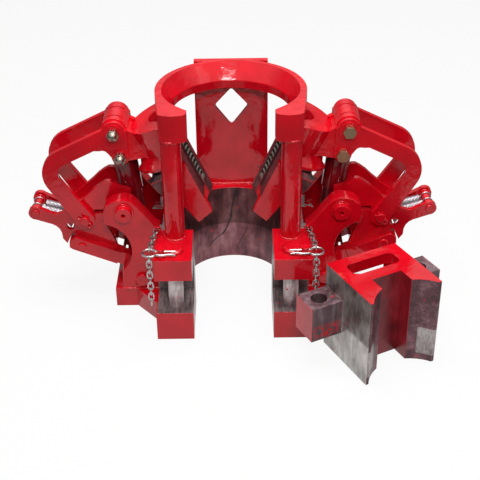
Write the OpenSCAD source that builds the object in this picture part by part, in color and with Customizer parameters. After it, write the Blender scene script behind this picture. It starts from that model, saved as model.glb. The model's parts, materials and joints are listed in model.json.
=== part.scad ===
// Pneumatic pipe spider: a U-shaped bowl that a pipe enters from the side, a guard ring on two
// posts, and two wedge slips that swing down into the bowl on air-driven arms.
// Millimetres, +Z up. The origin is on the bore axis, on the face that the body stands on.
// The operator stands at -Y, where the throat opens. The right-hand side is drawn, the left mirrored.

/* [Bowl body] */
// Width of the throat that the pipe enters through
throat_w = 146; // [130:1:160]
// Radius of the bore below the cone
bowl_r = 98; // [92:1:104]
// Height at which the bore starts to widen
cone_z = 79; // [60:1:95]
// Growth of the cone's radius for each millimetre of height
cone_slope = 0.211; // [0.15:0.001:0.25]
// Height of the bowl's top face
body_h = 153; // [145:1:160]
// Outer radius of the bowl
body_r = 160; // [156:1:166]
// Distance from the bore axis to the outer side of a leg
leg_x = 141; // [138:1:145]
// Distance from the bore axis to the front face of a leg
leg_y = 187; // [180:1:195]
// Height of the raised pad on top of each leg
pad_h = 18; // [10:1:24]
// Depth of the raised pad from the leg's front face
pad_len = 107; // [100:1:110]
// Height of the floor of the slot that takes a gate lug
slot_z = 58; // [50:1:62]
// Height of the slot
slot_h = 70.5; // [66:0.5:74]
// Depth of the slot from the leg's front face
slot_len = 77; // [70:1:80]
// Half length of the base flange
flange_x = 226; // [220:1:235]
// Half depth of the base flange
flange_y = 77.5; // [74:0.5:79]
// Thickness of the base flange
flange_t = 40; // [30:1:44]

/* [Guard ring] */
// Outer radius of the guard ring
ring_ro = 136.5; // [134:0.5:139]
// Wall of the guard ring
ring_wall = 14; // [11:0.5:16]
// Height of the ring's lower edge above the base
ring_z = 367.5; // [360:0.5:380]
// Height of the ring band
ring_h = 54.5; // [40:0.5:60]
// Diameter of each post
post_d = 37; // [30:1:40]
// Width of the back plate
plate_w = 141; // [130:1:146]
// Thickness of the back plate
plate_t = 14; // [10:1:16]
// Height of the diamond window
window_h = 78; // [60:1:90]
// Width of the diamond window
window_w = 64; // [50:1:76]

/* [Side frames] */
// Thickness of a cheek plate
cheek_t = 31.5; // [28:0.5:32]
// Distance from the middle plane to the inner face of a cheek
cheek_y = 46; // [46:0.5:48]
// Diameter of the stub shaft in each cheek
stub_d = 30; // [24:1:32]
// Thickness of a side plate
side_t = 10; // [8:0.5:10]
// Distance from the middle plane to the inner face of a side plate
side_y = 24; // [24:0.5:25]
// Diameter of the arm pivot pin
pivot_d = 18; // [14:1:20]
// Diameter of the spring bar
spring_bar_d = 16; // [12:1:18]
// Thickness of the outrigger slab
slab_t = 26; // [22:1:28]

/* [Slip arms] */
// Thickness of an arm plate
arm_t = 11; // [8:1:11]
// Width of an arm plate's band
arm_w = 29; // [24:1:32]
// Diameter of the head bolts
bolt_d = 16; // [12:1:18]
// Swing that sets the slips, in degrees
set_angle = 24.5; // [20:0.1:24.6]

/* [Slips] */
// Width of a slip
slip_w = 106; // [96:1:110]
// Length of a slip along its gripping face
slip_len = 197; // [185:1:200]
// Distance from the bore axis to the slip's face when it is set
set_x = 51; // [50:0.5:54]
// Diameter of the pipe that the dies grip
pipe_d = 89; // [73:0.5:91]
// Width of a die
die_w = 40; // [30:1:46]
// Length of a die
die_len = 124; // [100:1:128]
// Pitch of the die teeth
tooth_pitch = 9.6; // [6:0.1:12]
// Depth of the die teeth
tooth_h = 4; // [2:0.5:5]

/* [Air cylinders] */
// Outer diameter of the barrel
barrel_d = 40; // [34:1:42]
// Length of the barrel
barrel_len = 144; // [130:1:145]
// Diameter of the rod
rod_d = 18; // [12:1:22]
// Length of the air chamber inside the barrel
chamber_len = 116; // [100:1:118]
// Outer diameter of the cover that slides over the barrel
cover_d = 45.6; // [44:0.2:45.8]

/* [Gate and pins] */
// Diameter of the two gate pins
pin_d = 28; // [24:1:30]
// Distance between the two gate pins
pin_pitch = 210; // [208:1:214]
// Distance from the bore axis to the line of the gate pins
pin_y = 154; // [148:1:158]
// Height of a gate lug
gate_lug_h = 68; // [60:0.5:70]
// Radius of the gate wings' inner faces
gate_r = 80; // [76:1:90]
// Wire diameter of a retaining clip
wire_d = 4; // [2.5:0.1:4]
// Turn of the loose gate where it stands beside the spider, in degrees
gate_turn = 207; // [200:1:215]

/* [Fits] */
// Radial clearance of a pin in its bore
pin_gap = 0.08; // [0.03:0.01:0.1]
// Clearance of faces that slide past each other
slide_gap = 1; // [0.5:0.1:1.5]
// Radial clearance between a set slip and the cone
seat_gap = 0.3; // [0.2:0.1:1]
// Radial clearance of the rod eye, which lets the slip settle on the pipe
eye_gap = 3; // [2:0.5:4]
// Clearance of a raised slip below the guard ring
ring_gap = 3; // [2:0.5:6]
// Radial clearance of the cover around the barrel
cover_gap = 0.6; // [0.4:0.1:1]

/* [Hidden] */
$fn = 96;

paint = [0.76, 0.04, 0.07];
steel = [0.62, 0.6, 0.6];
dark = [0.3, 0.24, 0.24];
zinc = [0.74, 0.7, 0.56];

half_throat = throat_w / 2;
pad_z = body_h + pad_h;
slot_back_y = leg_y - slot_len;
pad_back_y = leg_y - pad_len;
leg_mid_x = pin_pitch / 2;
cone_top_r = bowl_r + cone_slope * (body_h - cone_z);
ring_ri = ring_ro - ring_wall;
ring_top = ring_z + ring_h;
post_r = post_d / 2;
post_y = 100.5;
plate_y = ring_ro - ring_wall / 2 - 0.5;
plate_back_y = plate_y + plate_t;
window_z = 321;
cheek_out_y = cheek_y + cheek_t;
side_out_y = side_y + side_t;
arm_y = side_out_y + slide_gap;
arm_out_y = arm_y + arm_t;

// Pivots of the right-hand side frame, as [x, z]
stub_at = [199.5, 207];
pivot_at = [277, 173];
bar_at = [370, 183];
trunnion_at = [173, 62];
hook_at = [303, 163];
// Bolts of the slip arm at rest, with the slips raised
bolt_high = [211, 352];
bolt_low = [201, 305];
// Centre and radius of the middle of the arm's round corner
corner_at = [295, 270];
corner_r = 37;
// Slip at rest: lower end of its face, tilt, and the set slip's bore axis in the slip's own frame
slip_at = [38, 193.5];
slip_tilt = 24.6;
skirt_z = 121;
skirt_x = 29;
skirt_r = 66.5;
crown_x = 15;
crown_r = 59;
slip_back_r = bowl_r + cone_slope * (92 - cone_z) - seat_gap;
die_low = 54;
die_seat = 8;
die_edge = 12;
rod_span = norm(bolt_low - trunnion_at);
rod_lean = atan2(bolt_low[0] - trunnion_at[0], bolt_low[1] - trunnion_at[1]);
barrel_start = 24;
barrel_end = barrel_start + barrel_len;
slab_lean = 22.5;
slab_from = [201, 69.5];
slab_length = 123;
slab_y = 50;
cover_from = rod_span - 88;
cover_end = rod_span - 24;
clip_z = pad_z + 12;
ear_at = [136, -95.5];
ear_z = pad_z + 10;
link_r = 4.3;
link_wire_r = 1.5;
boss_h = 3;
clip_y = 174;
stub_x = 128;
gate_at = [242, -196];

// Mirrors the right-hand piece to the left
module left() mirror([1, 0, 0]) children();

// Turns a front piece into the rear one
module rear() mirror([0, 1, 0]) children();

// Extrudes an [x, z] outline from y0 to y0 + t
module slice(y0, t) translate([0, y0 + t, 0]) rotate([90, 0, 0]) linear_extrude(t) children();

// Round bar along Y, centred on an [x, z] point
module along_y(at, r, y0, y1) translate([at[0], y1, at[1]]) rotate([90, 0, 0]) cylinder(r = r, h = y1 - y0);

// Outline of a bar that tapers from half width a at p to half width b at q
module bar2d(p, a, q, b) {
    d = (q - p) / norm(q - p);
    n = [-d[1], d[0]];
    polygon([p + a * n, q + b * n, q - b * n, p - a * n]);
}

// Disc at an [x, z] point
module disc(at, r) translate(at) circle(r);

// Point that lies a little past q on the line from p
function past(p, q, extra) = q + extra * (q - p) / norm(q - p);

// Point where a line from p touches a circle, side = 1 or -1
function touch(c, r, p, side) = let (v = p - c, a = atan2(v[1], v[0]) + side * acos(r / norm(v)))
    c + r * [cos(a), sin(a)];

module bowl_body() color(paint) difference() {
    union() {
        cylinder(r = body_r, h = body_h);
        for (s = [-1, 1]) {
            translate([s > 0 ? half_throat : -leg_x, -leg_y, 0]) cube([leg_x - half_throat, leg_y, body_h]);
            translate([s > 0 ? half_throat : -leg_x, -leg_y, 0]) cube([leg_x - half_throat, pad_len, pad_z]);
        }
        linear_extrude(flange_t) polygon([[-flange_x, -flange_y], [-185, -flange_y], [-leg_x, -130],
            [leg_x, -130], [185, -flange_y], [flange_x, -flange_y], [flange_x, flange_y - 20],
            [flange_x - 20, flange_y], [150, 90], [-150, 90], [20 - flange_x, flange_y],
            [-flange_x, flange_y - 20]]);
    }
    translate([0, 0, -1]) cylinder(r = bowl_r, h = body_h + 2);
    translate([0, 0, cone_z]) cylinder(r1 = bowl_r, r2 = cone_top_r, h = body_h - cone_z);
    translate([0, 0, body_h]) cylinder(r = cone_top_r, h = 1);
    translate([-half_throat, -leg_y - 1, -1]) cube([throat_w, leg_y + 1, pad_z + 2]);
    for (s = [-1, 1]) {
        translate([s > 0 ? half_throat - 1 : -leg_x - 1, -leg_y - 1, slot_z])
            cube([leg_x - half_throat + 2, slot_len + 1, slot_h]);
        translate([s * leg_mid_x, -pin_y, 10]) cylinder(r = pin_d / 2 + pin_gap, h = pad_z);
        translate([s > 0 ? 134 : -214, -30, flange_t]) cube([80, 60, body_h]);
    }
}

// Plan of the guard ring: an open hoop with a square end block over each post
module ring_plan() {
    union() {
        difference() {
            circle(ring_ro);
            circle(ring_ri);
            translate([-80, -leg_y]) square([160, leg_y - 40]);
        }
        for (m = [0, 1]) mirror([m, 0]) polygon([[ring_ro - 1, -17], [124.5, -post_y - 12],
            [118, -post_y - post_r], [84, -post_y - post_r], [77, -post_y - 12], [76, -96],
            [ring_ri - 42, -92.8], [ring_ri - 38, -91.8], [ring_ri - 10, -60], [ring_ri + 6, -17]]);
    }
}

module guard_ring() color(paint) translate([0, 0, ring_z]) linear_extrude(ring_h) ring_plan();

module post_right() color(paint) translate([leg_mid_x + 0.5, -post_y, pad_z])
    cylinder(r = post_r, h = ring_z - pad_z);

module back_plate() color(paint) difference() {
    translate([-plate_w / 2, plate_y, body_h]) cube([plate_w, plate_t, ring_top - body_h]);
    translate([0, 0, ring_z]) cylinder(r = ring_ro, h = ring_h + 1);
    slice(plate_y - 1, plate_t + 2) polygon([[-2, window_z + window_h / 2], [2, window_z + window_h / 2],
        [window_w / 2, window_z + 6], [window_w / 2, window_z + 1], [1.5, window_z - window_h / 2],
        [-1.5, window_z - window_h / 2], [-window_w / 2, window_z + 1], [-window_w / 2, window_z + 6]]);
    along_y([54, 191], 3.2, plate_y - 1, plate_back_y + 1);
}

// Studs beside the gate pins, each with a cross hole for its clip
module keeper_stubs() color(paint) for (s = [-1, 1]) difference() {
    translate([s * stub_x, -clip_y, pad_z]) cylinder(r = 7, h = 19);
    translate([s * stub_x - 10, -clip_y, clip_z]) rotate([0, 90, 0]) cylinder(r = wire_d / 2 + 0.3, h = 20);
}

// Ears that hold the top end of each chain
module chain_eyes() color(paint) for (m = [0, 1]) mirror([m, 0, 0]) difference() {
    union() {
        translate([130.5, ear_at[1] - 1.5, pad_z]) cube([11.6, 3, 12]);
        along_y([136.3, ear_z], 5.8, ear_at[1] - 1.5, ear_at[1] + 1.5);
    }
    along_y([ear_at[0], ear_z], 3.4, ear_at[1] - 2, ear_at[1] + 2);
}

// Outline of a cheek: a foot on the flange, a round waist and a head around the stub shaft
module cheek_outline() difference() {
    polygon([[135, body_h], [141, flange_t], [212, flange_t], [209, 92], [236, 125], [237, 188],
        [238.5, 204], [233, 219], [220, 228.5], [199, 233], [184, 228], [173, 216], [146, 180], [135, pad_z]]);
    disc([247, 125], 58);
    disc(stub_at, stub_d / 2 + pin_gap);
    disc(trunnion_at, pivot_d / 2 + pin_gap);
}

module cheek_front_right() color(paint) difference() {
    slice(-cheek_out_y, cheek_t) cheek_outline();
    cylinder(r = body_r, h = body_h);
    translate([0, -leg_y, 0]) cube([leg_x, leg_y, pad_z]);
}

module stub_shafts_right() color(paint) for (m = [0, 1]) mirror([0, m, 0]) difference() {
    union() {
        along_y(stub_at, stub_d / 2, -cheek_out_y - 12, -side_y);
        along_y(stub_at, stub_d / 2 + 3.7, -cheek_out_y - 1.5, -cheek_out_y);
    }
    along_y(stub_at, 3.5, -cheek_out_y - 13, -cheek_out_y);
}

// Tilted slab between the two cheeks that carries the side plates, with a bolt through its end
module outrigger_right() color(paint) difference() {
    union() {
        slice(-slab_y, slab_y * 2) translate(slab_from) rotate(slab_lean) polygon([[24, 0],
            [slab_length - 11, 0], [slab_length - 4, 2], [slab_length, slab_t / 2],
            [slab_length - 7, slab_t], [24, slab_t]]);
        slice(-cheek_y, cheek_y * 2) translate(slab_from) rotate(slab_lean) square([26, slab_t]);
        along_y([286, 118], 8, -slab_y - 4, slab_y + 4);
    }
    translate([150, -side_y - 2, 40]) cube([62, side_y * 2 + 4, 90]);
}

// Outline of a side plate: hump behind the cheek, lever to the spring bar, foot on the slab
module side_outline() difference() {
    union() {
        polygon([[188, 231], [199.5, 235], [209, 237.5], [218, 244.5], [226, 249.5], [234, 249.5],
            [243.5, 244], [254, 236], [266, 224], [284, 208.5], [304, 193], [318, 184.5], [330, 179.5],
            [346, 183], [346, 162], [334, 155], [328, 148], [325, 140], [324, 127], [319, 114],
            [311, 107.5], [300, 107.5], [225, 72], [218, 98], [229, 134], [245, 166], [228, 178], [188, 184]]);
        bar2d([338, 169], 10.5, bar_at, 13);
        disc(bar_at, 13.5);
    }
    translate(slab_from) rotate(slab_lean) translate([-10, slab_t - 60]) square([slab_length + 10, 60]);
    translate([231, 181]) square([30, 9]);
    disc([306.5, 154], 8);
    disc(stub_at, stub_d / 2 + pin_gap);
    disc(pivot_at, pivot_d / 2 + pin_gap);
    disc(bar_at, spring_bar_d / 2 + pin_gap);
}

module side_plates_right() color(paint) for (m = [0, 1]) mirror([0, m, 0])
    slice(-side_out_y, side_t) side_outline();

module spring_bar_right() color(paint) {
    along_y(bar_at, spring_bar_d / 2, -side_out_y - 3, side_out_y + 3);
    for (y = [-20, 20]) along_y(bar_at, spring_bar_d / 2 + 3, y - 2, y + 2);
}

module trunnion_pin_right() color(paint) {
    along_y(trunnion_at, pivot_d / 2, -cheek_out_y - 4, cheek_out_y + 4);
    for (m = [0, 1]) mirror([0, m, 0]) along_y(trunnion_at, 12, -cheek_out_y - 8, -cheek_out_y);
}

// Arm plate: a C-shaped band from the head bolts round to the pivot
module arm_front_right() color(paint) {
    top_touch = touch(corner_at, corner_r, bolt_high, -1);
    low_touch = touch(corner_at, corner_r, pivot_at, 1);
    half = arm_w / 2;
    difference() {
        union() {
            slice(-arm_out_y, arm_t) difference() {
                disc(corner_at, corner_r + half);
                disc(corner_at, corner_r - half);
                polygon([corner_at, corner_at + 4 * (top_touch - corner_at), [180, 460], [180, 120],
                    corner_at + 4 * (low_touch - corner_at)]);
            }
            slice(-arm_out_y, arm_t) bar2d(past(bolt_high, top_touch, 1), half, bolt_high, half);
            slice(-arm_out_y, arm_t) bar2d(past(pivot_at, low_touch, 1), half, pivot_at, half + 3);
            slice(-arm_out_y, arm_t) bar2d(bolt_high, 24, bolt_low, 15.5);
            slice(-arm_out_y, arm_t) polygon([[214, 302], [219, 306.5], [223.5, 313], [227.5, 316.8],
                [232, 318.3], [241, 317.4], [252, 318], [240, 340], [212, 340], [208, 310]]);
            slice(-arm_out_y, arm_t) disc(bolt_high, 22);
            slice(-arm_out_y, arm_t) disc(bolt_low, 16);
            along_y(bolt_high, 18, -arm_out_y - boss_h, -arm_out_y + 1);
            along_y(bolt_low, 14.5, -arm_out_y - boss_h, -arm_out_y + 1);
            slice(-arm_out_y, arm_t) disc(pivot_at, half + 4);
        }
        for (at = [bolt_high, bolt_low])
            along_y(at, bolt_d / 2 + pin_gap, -arm_out_y - boss_h - 1, -arm_y + 1);
        along_y(pivot_at, pivot_d / 2 + 0.02, -arm_out_y - 1, -arm_y + 1);
    }
}

module pivot_pin_right() color(paint) along_y(pivot_at, pivot_d / 2, -arm_out_y - 7, arm_out_y + 7);

// Solid of a slip above its back, in the slip's own frame: skirt, flare and crown
module slip_shank(grow) {
    translate([skirt_x, 0, skirt_z]) cylinder(r = skirt_r, h = 5);
    translate([skirt_x, 0, skirt_z + 5]) cylinder(r1 = skirt_r, r2 = skirt_r - 29, h = 24);
    translate([crown_x, 0, skirt_z]) cylinder(r1 = crown_r - 3, r2 = crown_r + 3 * grow / (slip_len - skirt_z) + (grow ? 0.02 : 0),
        h = slip_len - skirt_z + grow);
}

// Places a piece that is drawn in the slip's own frame: X out from the face, Z up along it
module at_slip() translate([slip_at[0], 0, slip_at[1]]) rotate([0, slip_tilt, 0]) children();

module slip_right() color(paint) difference() {
    at_slip() difference() {
        union() {
            intersection() {
                translate([-set_x, 0, -20]) cylinder(r1 = slip_back_r - 20 * cone_slope,
                    r2 = slip_back_r + 110 * cone_slope, h = 130);
                translate([0, -slip_w / 2, -20]) cube([110, slip_w, 130]);
            }
            intersection() {
                union() {
                    translate([skirt_x, 0, skirt_z - 21]) cylinder(r1 = skirt_r - 21, r2 = skirt_r - 4, h = 21);
                    slip_shank(0);
                }
                translate([0, -skirt_r - 1, skirt_z - 21]) cube([110, skirt_r * 2 + 2, slip_len]);
            }
        }
        slice(-slip_w, slip_w * 2) polygon([[-1, 0.3], [60, -19], [60, -30], [-1, -30]]);
        translate([-1, -die_w / 2 + 2, die_low]) cube([die_seat + 1, die_w - 4, slip_len]);
        translate([8, 0, slip_len - 24]) cylinder(r = 26, h = 30);
        translate([80, -side_y - 2, skirt_z - 25]) cube([40, side_y * 2 + 4, 60]);
    }
    translate([0, -100, ring_z - ring_gap]) cube([200, 200, 60]);
}

// Toothed die: a plate in the slip's slot with a hollow toothed face
module die_right() color(dark) at_slip() difference() {
    union() {
        translate([-0.2, -die_w / 2 + 2.2, die_low + 0.2]) cube([die_seat, die_w - 4.4, die_len]);
        translate([-die_edge, -die_w / 2, die_low + 0.2]) cube([die_edge - 0.2, die_w, die_len]);
    }
    translate([-set_x, 0, 0]) cylinder(r = pipe_d / 2, h = slip_len + 20);
    for (z = [die_low + tooth_pitch : tooth_pitch : die_low + die_len - tooth_pitch])
        slice(-die_w, die_w * 2) polygon([[-die_edge - 1, z - tooth_h - 3], [-die_edge - 1, z],
            [pipe_d / 2 - set_x + tooth_h, z], [pipe_d / 2 - set_x, z - tooth_h - 2]]);
}

// Head block between the arms, with two grooves and the neck and webs that carry the slip
module head_right() color(paint) difference() {
    union() {
        slice(-arm_y, arm_y * 2) union() {
            disc(bolt_high, 24);
            disc(bolt_low, 16);
            bar2d(bolt_high, 24, bolt_low, 15.5);
        }
        slice(-30, 60) polygon([[200, 356], [188, 349], [176, 341], [165, 330], [180, 310], [200, 310]]);
        for (m = [0, 1]) mirror([0, m, 0]) slice(-34, 11)
            polygon([[200, 357], [187, 352], [174, 345], [140, 350], [138, 292], [158, 297], [190, 291]]);
    }
    at_slip() {
        slip_shank(1);
        translate([-60, -70, 90]) cube([60 + crown_x, 140, 120]);
    }
    for (y = [-18.5, 18.5]) difference() {
        along_y(bolt_high, 30, y - 1.5, y + 1.5);
        along_y(bolt_high, 21, y - 2, y + 2);
        translate([150, y - 3, 300]) cube([45, 6, 80]);
    }
    translate([150, -12, 250]) cube([90, 24, 76]);
    along_y(bolt_high, bolt_d / 2 + pin_gap, -arm_out_y, arm_out_y);
    along_y(bolt_low, bolt_d / 2 + pin_gap, -arm_out_y, arm_out_y);
}

// Bolts through the head: hexagon head at one end, cap nut at the other
module head_bolts_right() color(zinc) for (at = [bolt_high, bolt_low]) {
    along_y(at, bolt_d / 2, -arm_out_y - boss_h - 1, arm_out_y + boss_h + 1);
    translate([at[0], -arm_out_y - boss_h, at[1]]) rotate([90, 0, 0]) cylinder(r = 12.2, h = 8, $fn = 6);
    translate([at[0], arm_out_y + boss_h, at[1]]) rotate([-90, 0, 0]) {
        cylinder(r = 11.4, h = 8, $fn = 6);
        translate([0, 0, 8]) cylinder(r1 = 9, r2 = 7.8, h = 4);
        translate([0, 0, 12]) cylinder(r1 = 7.8, r2 = 3.8, h = 3.4);
    }
}

// Crank keyed to the pivot pin, where the springs pull
module spring_crank_right() color(paint) difference() {
    union() {
        along_y(pivot_at, 15, -side_y + 2, side_y - 2);
        slice(-side_y + 2, side_y * 2 - 4) bar2d(pivot_at, 13, hook_at, 6.5);
        along_y(hook_at, 7, -side_y + 2, side_y - 2);
    }
    along_y(pivot_at, pivot_d / 2 + 0.02, -side_y, side_y);
}

// Places a piece that is drawn along the air cylinder's axis
module at_cylinder() translate([trunnion_at[0], 0, trunnion_at[1]]) rotate([0, rod_lean, 0]) children();

module barrel_right() color(paint) at_cylinder() difference() {
    union() {
        translate([0, 0, barrel_start]) cylinder(d = barrel_d, h = barrel_len);
        translate([0, 0, barrel_start]) cylinder(d = barrel_d + 4, h = 12);
        rotate([90, 0, 0]) translate([0, 0, -14]) cylinder(r = 17, h = 28);
        translate([-14, -14, 0]) cube([28, 28, barrel_start + 4]);
    }
    translate([0, 0, barrel_end - 14 - chamber_len]) cylinder(d = barrel_d - 12, h = chamber_len);
    translate([0, 0, barrel_end - 20]) cylinder(r = rod_d / 2 + pin_gap, h = 30);
    rotate([90, 0, 0]) translate([0, 0, -20]) cylinder(r = pivot_d / 2 + pin_gap, h = 40);
}

module rod_right() color(steel) at_cylinder() difference() {
    union() {
        translate([0, 0, barrel_end - 32]) cylinder(r = rod_d / 2, h = rod_span - barrel_end + 20);
        translate([0, 0, barrel_end - 46]) cylinder(d = barrel_d - 13, h = 16);
        translate([0, 11, rod_span]) rotate([90, 0, 0]) cylinder(r = 17, h = 22);
        translate([-12, -11, rod_span - 24]) cube([24, 22, 20]);
    }
    translate([0, 12, rod_span]) rotate([90, 0, 0]) cylinder(r = bolt_d / 2 + eye_gap, h = 24);
}

// Cover on the rod's end that slides down over the barrel
module rod_cover_right() color(paint) at_cylinder() difference() {
    translate([0, 0, cover_from]) cylinder(d = cover_d, h = cover_end - cover_from);
    translate([0, 0, cover_from - 1]) cylinder(r = barrel_d / 2 + cover_gap, h = cover_end - cover_from - 5);
    translate([0, 0, cover_from]) cylinder(r = rod_d / 2 + 0.02, h = cover_end - cover_from + 1);
}

// Two tension springs from the spring bar to the crank, drawn as ribbed sleeves
module springs_right() color(steel) {
    d = bar_at - hook_at;
    span = norm(d);
    lean = atan2(d[0], d[1]);
    coil_from = 13;
    coil_turns = 15;
    for (y = [-11, 11]) translate([hook_at[0], y, hook_at[1]]) rotate([0, lean, 0]) {
        translate([0, 0, 7.3]) cylinder(r = 1.4, h = coil_from - 7.3);
        translate([0, 0, coil_from]) rotate_extrude() polygon(concat([[0, 0]],
            [for (i = [0 : coil_turns - 1]) each [[7, i * 2.9], [8.6, i * 2.9 + 0.7],
            [8.6, i * 2.9 + 2.1], [7, i * 2.9 + 2.8]]], [[0, coil_turns * 2.9 - 0.1]]));
        translate([0, 0, coil_from + coil_turns * 2.9 - 0.1]) cylinder(r = 1.4,
            h = span - spring_bar_d / 2 - 0.3 - coil_from - coil_turns * 2.9 + 0.1);
    }
}

module gate_pin_right() color(steel) translate([leg_mid_x, -pin_y, 0]) {
    translate([0, 0, 12]) cylinder(r = pin_d / 2, h = pad_z - 12);
    translate([0, 0, pad_z]) cylinder(r = pin_d / 2 + 3, h = 5);
    translate([0, 0, pad_z + 5]) cylinder(r1 = pin_d / 2 + 3, r2 = pin_d / 2 - 1, h = 3);
}

// Points of the retaining clip's wire: out round the stud, round the eye and back through the stud
clip_turns = 20;
clip_eye = [147, -4.5];
clip_eye_r = 12.5;
clip_path = concat([[101, -12.6], [106, -10.8], [111, -9.8], [116, -10.4], [121, -11.8], [126, -12.2],
    [131, -11.4]], [for (i = [0 : clip_turns]) let (a = 208 + i * (293 / clip_turns))
    clip_eye + clip_eye_r * [cos(a), sin(a)]], [[138.6, 2.6], [135.6, 0.4], [132, 0], [101, 0]]);

// Round wire along a flat path of [x, y] points
module wire(path, r, sides = 10) {
    n = len(path);
    dirs = [for (i = [0 : n - 1]) let (v = path[min(i + 1, n - 1)] - path[max(i - 1, 0)]) v / norm(v)];
    polyhedron(points = [for (i = [0 : n - 1]) for (k = [0 : sides - 1]) let (a = k * 360 / sides)
        [path[i][0] - dirs[i][1] * r * cos(a), path[i][1] + dirs[i][0] * r * cos(a), r * sin(a)]],
        faces = concat([[for (k = [0 : sides - 1]) k]],
        [[for (k = [0 : sides - 1]) n * sides - 1 - k]],
        [for (i = [0 : n - 2]) for (k = [0 : sides - 1]) [i * sides + k, (i + 1) * sides + k,
        (i + 1) * sides + (k + 1) % sides, i * sides + (k + 1) % sides]]));
}

// Retaining clip: a straight leg through the stud, a bent leg round it and a round eye
module clip_right() color(steel) translate([0, -clip_y, clip_z]) wire(clip_path, wire_d / 2);

// Chain link: a closed loop of round wire with half-round ends, lengthwise along X
module link(pitch, sides = 6, steps = 5) {
    path = [for (e = [0, 1]) for (k = [0 : steps]) let (a = 270 + e * 180 + k * 180 / steps)
        [[cos(a), sin(a)], [(e == 0 ? 1 : -1) * (pitch / 2 + link_wire_r + 0.2 - link_r) + link_r * cos(a),
        link_r * sin(a)]]];
    n = len(path);
    polyhedron(points = [for (q = path) for (k = [0 : sides - 1]) let (b = k * 360 / sides)
        [q[1][0] + q[0][0] * link_wire_r * cos(b), q[1][1] + q[0][1] * link_wire_r * cos(b), link_wire_r * sin(b)]],
        faces = [for (i = [0 : n - 1]) for (k = [0 : sides - 1]) [i * sides + k, i * sides + (k + 1) % sides,
        (i + 1) % n * sides + (k + 1) % sides, (i + 1) % n * sides + k]]);
}

// Chain from one point to another, each link turned a quarter from the last
module chain_run(from, to, count, first = 0) {
    d = to - from;
    for (i = [0 : count - 1]) translate(from + i / (count - 1) * d)
        rotate([0, -asin(d[2] / norm(d)), atan2(d[1], d[0])]) rotate([(i + first) % 2 * 90, 0, 0])
            link(norm(d) / (count - 1));
}

// Chain from its ear to the eye of the clip, with a free end that hangs from the eye
module chain_right() color(steel) {
    eye = [clip_eye[0], clip_eye[1] - clip_y];
    chain_run([ear_at[0] + link_r, ear_at[1] - 4.5, ear_z], [eye[0], eye[1] + clip_eye_r + 4.2, clip_z], 6);
    chain_run([eye[0], eye[1] - clip_eye_r, clip_z - 3.8], [eye[0], eye[1] - clip_eye_r, 88], 9);
}

// Loose gate in its fitted frame: u to the side, v towards the bore, measured from the pin line
module gate_solid() difference() {
    union() {
        difference() {
            translate([-half_throat + slide_gap, -31, 0]) cube([throat_w - slide_gap * 2, 140, pad_z]);
            translate([0, pin_y, -1]) cylinder(r = gate_r, h = pad_z + 2);
            translate([-30, 48, -1]) cube([60, 100, pad_z + 2]);
            translate([-50, -32, -1]) cube([100, 56, pad_z - 21]);
            translate([-48, -10, -1]) cube([96, 34, pad_z + 2]);
        }
        for (s = [-1, 1]) translate([s > 0 ? half_throat - slide_gap : -leg_x + 7, -27, slot_z + 1.5])
            cube([leg_x - 7 - half_throat + slide_gap, 54, gate_lug_h]);
    }
    for (s = [-1, 1]) translate([s * leg_mid_x, 0, 0]) cylinder(r = pin_d / 2 + 0.8, h = pad_z);
}

module gate() color(paint) translate([gate_at[0], gate_at[1], 0]) rotate([0, 0, gate_turn]) gate_solid();

bowl_body();
guard_ring();
left() post_right();  // post_left
post_right();
back_plate();
keeper_stubs();
chain_eyes();
left() cheek_front_right();  // cheek_front_left
left() rear() cheek_front_right();  // cheek_rear_left
cheek_front_right();
rear() cheek_front_right();  // cheek_rear_right
left() stub_shafts_right();  // stub_shafts_left
stub_shafts_right();
left() outrigger_right();  // outrigger_left
outrigger_right();
left() side_plates_right();  // side_plates_left
side_plates_right();
left() spring_bar_right();  // spring_bar_left
spring_bar_right();
left() trunnion_pin_right();  // trunnion_pin_left
trunnion_pin_right();
left() arm_front_right();  // arm_front_left
left() rear() arm_front_right();  // arm_rear_left
arm_front_right();
rear() arm_front_right();  // arm_rear_right
left() head_right();  // head_left
head_right();
left() rear() head_bolts_right();  // head_bolts_left
head_bolts_right();
left() pivot_pin_right();  // pivot_pin_left
pivot_pin_right();
left() spring_crank_right();  // spring_crank_left
spring_crank_right();
left() slip_right();  // slip_left
slip_right();
left() die_right();  // die_left
die_right();
left() barrel_right();  // barrel_left
barrel_right();
left() rod_right();  // rod_left
rod_right();
left() rod_cover_right();  // rod_cover_left
rod_cover_right();
left() springs_right();  // springs_left
springs_right();
left() gate_pin_right();  // gate_pin_left
gate_pin_right();
left() clip_right();  // clip_left
clip_right();
left() chain_right();  // chain_left
chain_right();
gate();
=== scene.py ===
"""Pneumatic pipe spider: an enamelled cast bowl with a guard ring, two wedge slips on air-driven
swing arms, and the loose gate that closes the throat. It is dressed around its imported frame."""

import json
import math

import bmesh
import bpy
import numpy as np
from mathutils import Matrix, Vector

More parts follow.
